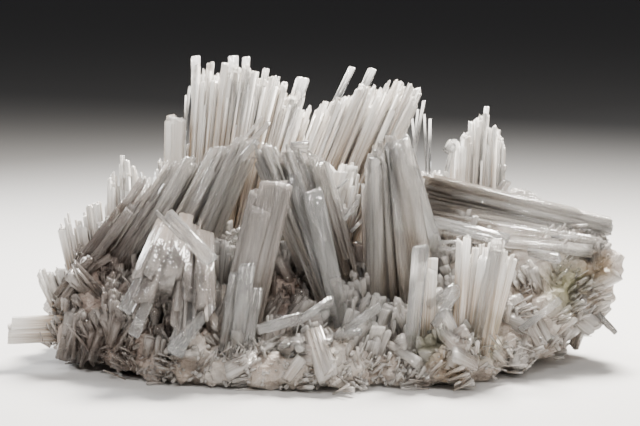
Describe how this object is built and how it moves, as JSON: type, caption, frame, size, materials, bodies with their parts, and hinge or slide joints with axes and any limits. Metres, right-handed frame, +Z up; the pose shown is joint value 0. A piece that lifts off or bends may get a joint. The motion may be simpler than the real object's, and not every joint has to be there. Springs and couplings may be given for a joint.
{
  "type": "scolecite specimen",
  "caption": "Scolecite crystal specimen: sprays of long, flat-faced, clear and white crystals radiating from a lumpy crystal crust, resting on its flat underside.",
  "frame": {"origin": "middle of the specimen's box, on the surface it rests on", "axes": "+X along the specimen's length, to the right seen from the front; +Y from its front to its back; +Z up"},
  "size_m": [0.1392, 0.0758, 0.0693],
  "materials": {
    "crust": "rough, covered with small crystals",
    "clear_crystal": "glassy, striated lengthwise",
    "white_crystal": "silky, striated lengthwise"
  },
  "bodies": {
    "root": {"crust": "crust", "front_block_spray": "clear_crystal", "bright_blade": "clear_crystal", "front_right_spray": "clear_crystal", "front_low_spray": "clear_crystal", "front_left_spray": "clear_crystal", "centre_blade_spray": "clear_crystal", "centre_right_spray": "clear_crystal", "centre_left_spray": "clear_crystal", "left_spray": "clear_crystal", "inner_spray": "white_crystal", "right_ridge_spray": "clear_crystal", "right_tower_spray": "white_crystal", "saddle_spray": "white_crystal", "back_centre_spray": "white_crystal", "back_left_spray": "white_crystal", "shoulder_blade": "clear_crystal", "left_tower_spray": "white_crystal", "left_edge_spray": "white_crystal", "far_left_spray": "white_crystal", "far_left_blade": "clear_crystal", "low_right_blade": "clear_crystal", "rear_left_spray": "white_crystal", "rear_centre_spray": "white_crystal", "rear_right_spray": "white_crystal", "rear_low_spray": "clear_crystal"}
  },
  "joints": []
}
